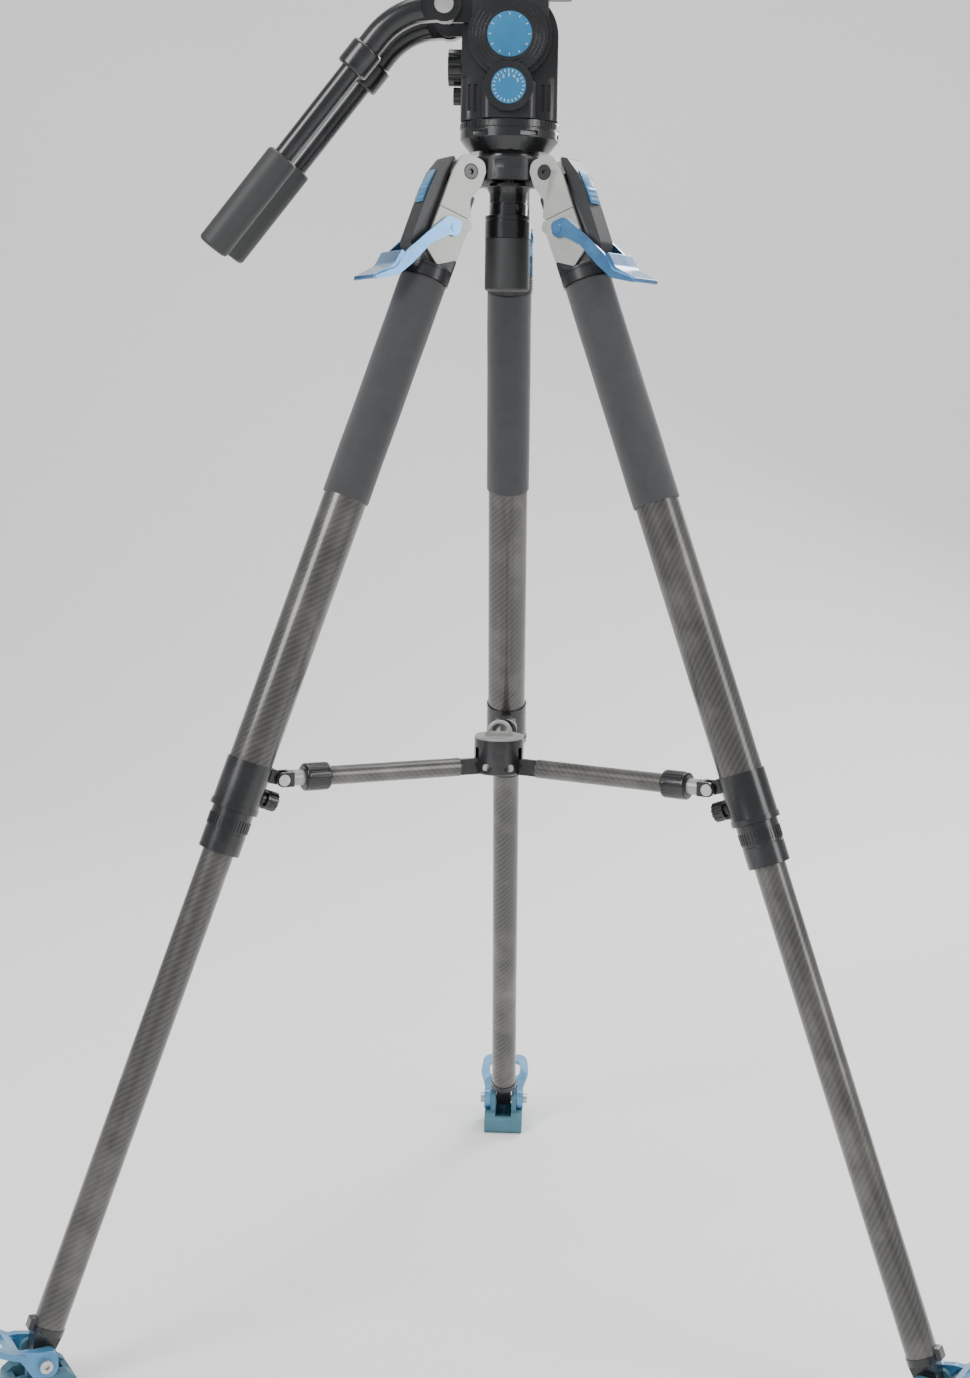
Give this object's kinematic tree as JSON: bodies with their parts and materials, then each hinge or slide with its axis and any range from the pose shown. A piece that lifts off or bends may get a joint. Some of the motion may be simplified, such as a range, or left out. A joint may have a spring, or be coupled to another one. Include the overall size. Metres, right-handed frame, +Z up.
{
  "type": "tripod with fluid head",
  "caption": "Three-leg telescoping camera tripod with a mid-level spreader, levelling half ball, counterbalanced pan-and-tilt fluid head, two pan bars and a sliding camera plate.",
  "frame": {"origin": "point on the floor directly below the pan axis", "axes": "+Z up; the lens points along +X, the pan bars point to -X, the tilt axis lies along Y and the rear leg is towards +Y"},
  "size_m": [0.9564, 0.8315, 1.338],
  "materials": {
    "carbon": "woven carbon fibre under a satin clear coat",
    "satin_metal": "satin silver anodised",
    "blue_metal": "blue anodised",
    "foam": "matte closed-cell foam",
    "teal_rubber": "teal moulded rubber",
    "steel": "machined",
    "bar_metal": "satin tube with a black grip",
    "black_metal": "black anodised, slightly glossy"
  },
  "bodies": {
    "apex": {"apex_casting": "black_metal", "leg_pivot_bolts": "steel"},
    "ball": {"half_ball": "black_metal"},
    "head_base": {"turntable_base": "black_metal"},
    "tie_down": {"tie_down_handle": "black_metal"},
    "pan": {"pan_body": "black_metal"},
    "pan_drag": {"pan_drag_dial": "black_metal"},
    "tilt_lock": {"tilt_lock_knob": "black_metal"},
    "pan_lock": {"pan_lock_knob": "black_metal"},
    "tilt": {"tilt_cradle": "black_metal", "tilt_shaft": "steel"},
    "tilt_drag": {"tilt_drag_dial": "black_metal"},
    "counterbalance": {"counterbalance_dial": "black_metal"},
    "plate": {"camera_plate": "black_metal"},
    "screws": {"camera_screws": "steel"},
    "plate_lock": {"plate_lock_knob": "black_metal"},
    "arm_near": {"pan_arm_near": "black_metal"},
    "bar_near": {"pan_bar_near": "bar_metal"},
    "arm_far": {"pan_arm_far": "black_metal"},
    "bar_far": {"pan_bar_far": "bar_metal"},
    "hub": {"spreader_hub": "black_metal"},
    "leg_left": {"leg_left_crown": "black_metal", "leg_left_side_plates": "satin_metal", "leg_left_upper_section": "carbon", "leg_left_foam_grip": "foam"},
    "lever_left": {"leg_left_lock_lever": "blue_metal"},
    "tab_left": {"leg_left_angle_tab": "blue_metal"},
    "collar_knob_left": {"leg_left_collar_knob": "black_metal"},
    "middle_left": {"leg_left_middle_section": "carbon"},
    "lower_left": {"leg_left_lower_section": "carbon"},
    "shoe_left": {"leg_left_shoe": "teal_rubber"},
    "slider_left": {"spreader_slider_left": "carbon"},
    "strut_left": {"spreader_arm_left": "carbon"},
    "ring_left": {"spreader_ring_left": "black_metal"},
    "leg_right": {"leg_right_crown": "black_metal", "leg_right_side_plates": "satin_metal", "leg_right_upper_section": "carbon", "leg_right_foam_grip": "foam"},
    "lever_right": {"leg_right_lock_lever": "blue_metal"},
    "tab_right": {"leg_right_angle_tab": "blue_metal"},
    "collar_knob_right": {"leg_right_collar_knob": "black_metal"},
    "middle_right": {"leg_right_middle_section": "carbon"},
    "lower_right": {"leg_right_lower_section": "carbon"},
    "shoe_right": {"leg_right_shoe": "teal_rubber"},
    "slider_right": {"spreader_slider_right": "carbon"},
    "strut_right": {"spreader_arm_right": "carbon"},
    "ring_right": {"spreader_ring_right": "black_metal"},
    "leg_rear": {"leg_rear_crown": "black_metal", "leg_rear_side_plates": "satin_metal", "leg_rear_upper_section": "carbon", "leg_rear_foam_grip": "foam"},
    "lever_rear": {"leg_rear_lock_lever": "blue_metal"},
    "tab_rear": {"leg_rear_angle_tab": "blue_metal"},
    "collar_knob_rear": {"leg_rear_collar_knob": "black_metal"},
    "middle_rear": {"leg_rear_middle_section": "carbon"},
    "lower_rear": {"leg_rear_lower_section": "carbon"},
    "shoe_rear": {"leg_rear_shoe": "teal_rubber"},
    "slider_rear": {"spreader_slider_rear": "carbon"},
    "strut_rear": {"spreader_arm_rear": "carbon"},
    "ring_rear": {"spreader_ring_rear": "black_metal"}
  },
  "joints": [
    {"name": "level_side", "type": "hinge", "parent": "apex", "child": "ball", "pos_m": [0, 0, 1.1525], "axis": [-1, 0, 0], "range_deg": [-6, 6]},
    {"name": "level_front", "type": "hinge", "parent": "ball", "child": "head_base", "pos_m": [0, 0, 1.1525], "axis": [0, 1, 0], "range_deg": [-6, 6]},
    {"name": "tie_down_turn", "type": "hinge", "parent": "head_base", "child": "tie_down", "pos_m": [0, 0, 1.1], "axis": [0, 0, 1], "range_deg": [0, 180]},
    {"name": "pan_turn", "type": "hinge", "parent": "head_base", "child": "pan", "pos_m": [0, 0, 1.187], "axis": [0, 0, 1], "continuous": true},
    {"name": "pan_drag_turn", "type": "hinge", "parent": "pan", "child": "pan_drag", "pos_m": [0, -0.055, 1.215], "axis": [0, -1, 0], "range_deg": [0, 270]},
    {"name": "tilt_lock_turn", "type": "hinge", "parent": "pan", "child": "tilt_lock", "pos_m": [-0.054, 0, 1.24], "axis": [-1, 0, 0], "range_deg": [0, 90]},
    {"name": "pan_lock_turn", "type": "hinge", "parent": "pan", "child": "pan_lock", "pos_m": [-0.051, 0, 1.213], "axis": [-1, 0, 0], "range_deg": [0, 90]},
    {"name": "tilt_turn", "type": "hinge", "parent": "pan", "child": "tilt", "pos_m": [0, 0, 1.264], "axis": [0, 1, 0], "range_deg": [-15, 75]},
    {"name": "tilt_drag_turn", "type": "hinge", "parent": "tilt", "child": "tilt_drag", "pos_m": [0, -0.047, 1.264], "axis": [0, -1, 0], "range_deg": [0, 270]},
    {"name": "counterbalance_turn", "type": "hinge", "parent": "tilt", "child": "counterbalance", "pos_m": [0, 0.048, 1.264], "axis": [0, 1, 0], "range_deg": [0, 270]},
    {"name": "plate_slide", "type": "slide", "parent": "tilt", "child": "plate", "axis": [1, 0, 0], "range_m": [-0.03, 0.03]},
    {"name": "screw_slide", "type": "slide", "parent": "plate", "child": "screws", "axis": [1, 0, 0], "range_m": [-0.018, 0.018]},
    {"name": "plate_lock_turn", "type": "hinge", "parent": "tilt", "child": "plate_lock", "pos_m": [0.02, 0.05, 1.324], "axis": [0, 1, 0], "range_deg": [0, 90]},
    {"name": "pan_arm_near_turn", "type": "hinge", "parent": "tilt", "child": "arm_near", "pos_m": [-0.062, -0.047, 1.29], "axis": [0, -1, 0], "range_deg": [-75, 12]},
    {"name": "pan_bar_near_slide", "type": "slide", "parent": "arm_near", "child": "bar_near", "axis": [-0.6198, 0, -0.7848], "range_m": [0, 0.015]},
    {"name": "pan_arm_far_turn", "type": "hinge", "parent": "tilt", "child": "arm_far", "pos_m": [-0.062, 0.047, 1.29], "axis": [0, -1, 0], "range_deg": [-75, 12]},
    {"name": "pan_bar_far_slide", "type": "slide", "parent": "arm_far", "child": "bar_far", "axis": [-0.6198, 0, -0.7848], "range_m": [0, 0.015]},
    {"name": "leg_left_fold", "type": "hinge", "parent": "apex", "child": "leg_left", "pos_m": [-0.0446, -0.02575, 1.137], "axis": [0.5, -0.866, 0], "range_deg": [0, 6.5]},
    {"name": "leg_left_lever_turn", "type": "hinge", "parent": "leg_left", "child": "lever_left", "pos_m": [-0.05971, -0.03447, 1.08318], "axis": [-0.5, 0.866, 0], "range_deg": [0, 80]},
    {"name": "leg_left_tab_pull", "type": "slide", "parent": "leg_left", "child": "tab_left", "axis": [-0.8085, -0.4668, 0.3584], "range_m": [0, 0.005]},
    {"name": "leg_left_collar_knob_turn", "type": "hinge", "parent": "leg_left", "child": "collar_knob_left", "pos_m": [-0.21547, -0.1244, 0.53928], "axis": [0.8085, 0.4668, -0.3584], "range_deg": [0, 180]},
    {"name": "leg_left_middle_slide", "type": "slide", "parent": "leg_left", "child": "middle_left", "axis": [-0.3104, -0.1792, -0.9336], "range_m": [0, 0.3]},
    {"name": "leg_left_lower_slide", "type": "slide", "parent": "middle_left", "child": "lower_left", "axis": [-0.3104, -0.1792, -0.9336], "range_m": [-0.3, 0.06]},
    {"name": "leg_left_shoe_turn", "type": "hinge", "parent": "lower_left", "child": "shoe_left", "pos_m": [-0.4106, -0.23706, 0.03603], "axis": [0.5, -0.866, 0], "range_deg": [-25, 25]},
    {"name": "spreader_left_turn", "type": "hinge", "parent": "leg_left", "child": "slider_left", "pos_m": [-0.20438, -0.118, 0.559], "axis": [0.5, -0.866, 0], "range_deg": [0, 37.51]},
    {"name": "spreader_left_slide", "type": "slide", "parent": "slider_left", "child": "strut_left", "axis": [-0.8659, -0.5, 0.014], "range_m": [0, 0.01152]},
    {"name": "spreader_left_ring_turn", "type": "hinge", "parent": "strut_left", "child": "ring_left", "pos_m": [-0.1732, -0.1, 0.5585], "axis": [-0.8659, -0.5, 0.014], "range_deg": [0, 60]},
    {"name": "leg_right_fold", "type": "hinge", "parent": "apex", "child": "leg_right", "pos_m": [0.0446, -0.02575, 1.137], "axis": [0.5, 0.866, 0], "range_deg": [0, 6.5]},
    {"name": "leg_right_lever_turn", "type": "hinge", "parent": "leg_right", "child": "lever_right", "pos_m": [0.05971, -0.03447, 1.08318], "axis": [-0.5, -0.866, 0], "range_deg": [0, 80]},
    {"name": "leg_right_tab_pull", "type": "slide", "parent": "leg_right", "child": "tab_right", "axis": [0.8085, -0.4668, 0.3584], "range_m": [0, 0.005]},
    {"name": "leg_right_collar_knob_turn", "type": "hinge", "parent": "leg_right", "child": "collar_knob_right", "pos_m": [0.21547, -0.1244, 0.53928], "axis": [-0.8085, 0.4668, -0.3584], "range_deg": [0, 180]},
    {"name": "leg_right_middle_slide", "type": "slide", "parent": "leg_right", "child": "middle_right", "axis": [0.3104, -0.1792, -0.9336], "range_m": [0, 0.3]},
    {"name": "leg_right_lower_slide", "type": "slide", "parent": "middle_right", "child": "lower_right", "axis": [0.3104, -0.1792, -0.9336], "range_m": [-0.3, 0.06]},
    {"name": "leg_right_shoe_turn", "type": "hinge", "parent": "lower_right", "child": "shoe_right", "pos_m": [0.4106, -0.23706, 0.03603], "axis": [0.5, 0.866, 0], "range_deg": [-25, 25]},
    {"name": "spreader_right_turn", "type": "hinge", "parent": "leg_right", "child": "slider_right", "pos_m": [0.20438, -0.118, 0.559], "axis": [0.5, 0.866, 0], "range_deg": [0, 37.51]},
    {"name": "spreader_right_slide", "type": "slide", "parent": "slider_right", "child": "strut_right", "axis": [0.8659, -0.5, 0.014], "range_m": [0, 0.01152]},
    {"name": "spreader_right_ring_turn", "type": "hinge", "parent": "strut_right", "child": "ring_right", "pos_m": [0.1732, -0.1, 0.5585], "axis": [0.8659, -0.5, 0.014], "range_deg": [0, 60]},
    {"name": "leg_rear_fold", "type": "hinge", "parent": "apex", "child": "leg_rear", "pos_m": [0, 0.0515, 1.137], "axis": [-1, 0, 0], "range_deg": [0, 6.5]},
    {"name": "leg_rear_lever_turn", "type": "hinge", "parent": "leg_rear", "child": "lever_rear", "pos_m": [0, 0.06895, 1.08318], "axis": [1, 0, 0], "range_deg": [0, 80]},
    {"name": "leg_rear_tab_pull", "type": "slide", "parent": "leg_rear", "child": "tab_rear", "axis": [0, 0.9336, 0.3584], "range_m": [0, 0.005]},
    {"name": "leg_rear_collar_knob_turn", "type": "hinge", "parent": "leg_rear", "child": "collar_knob_rear", "pos_m": [0, 0.24881, 0.53928], "axis": [0, -0.9336, -0.3584], "range_deg": [0, 180]},
    {"name": "leg_rear_middle_slide", "type": "slide", "parent": "leg_rear", "child": "middle_rear", "axis": [0, 0.3584, -0.9336], "range_m": [0, 0.3]},
    {"name": "leg_rear_lower_slide", "type": "slide", "parent": "middle_rear", "child": "lower_rear", "axis": [0, 0.3584, -0.9336], "range_m": [-0.3, 0.06]},
    {"name": "leg_rear_shoe_turn", "type": "hinge", "parent": "lower_rear", "child": "shoe_rear", "pos_m": [0, 0.47412, 0.03603], "axis": [-1, 0, 0], "range_deg": [-25, 25]},
    {"name": "spreader_rear_turn", "type": "hinge", "parent": "leg_rear", "child": "slider_rear", "pos_m": [0, 0.236, 0.559], "axis": [-1, 0, 0], "range_deg": [0, 37.51]},
    {"name": "spreader_rear_slide", "type": "slide", "parent": "slider_rear", "child": "strut_rear", "axis": [0, 0.9999, 0.014], "range_m": [0, 0.01152]},
    {"name": "spreader_rear_ring_turn", "type": "hinge", "parent": "strut_rear", "child": "ring_rear", "pos_m": [0, 0.2, 0.5585], "axis": [0, 0.9999, 0.014], "range_deg": [0, 60]},
    {"name": "hub_slide", "type": "slide", "parent": "apex", "child": "hub", "axis": [0, 0, 1], "range_m": [0, 0.1253]}
  ],
  "couplings": [
    {"joint": "spreader_left_turn", "follows": "leg_left_fold", "ratio": 5.7677},
    {"joint": "spreader_left_slide", "follows": "leg_left_fold", "m_per_rad": 0.10137},
    {"joint": "leg_right_fold", "follows": "leg_left_fold", "ratio": 1},
    {"joint": "spreader_right_turn", "follows": "leg_left_fold", "ratio": 5.7677},
    {"joint": "spreader_right_slide", "follows": "leg_left_fold", "m_per_rad": 0.10137},
    {"joint": "leg_rear_fold", "follows": "leg_left_fold", "ratio": 1},
    {"joint": "spreader_rear_turn", "follows": "leg_left_fold", "ratio": 5.7677},
    {"joint": "spreader_rear_slide", "follows": "leg_left_fold", "m_per_rad": 0.10137},
    {"joint": "hub_slide", "follows": "leg_left_fold", "m_per_rad": 1.1029}
  ]
}
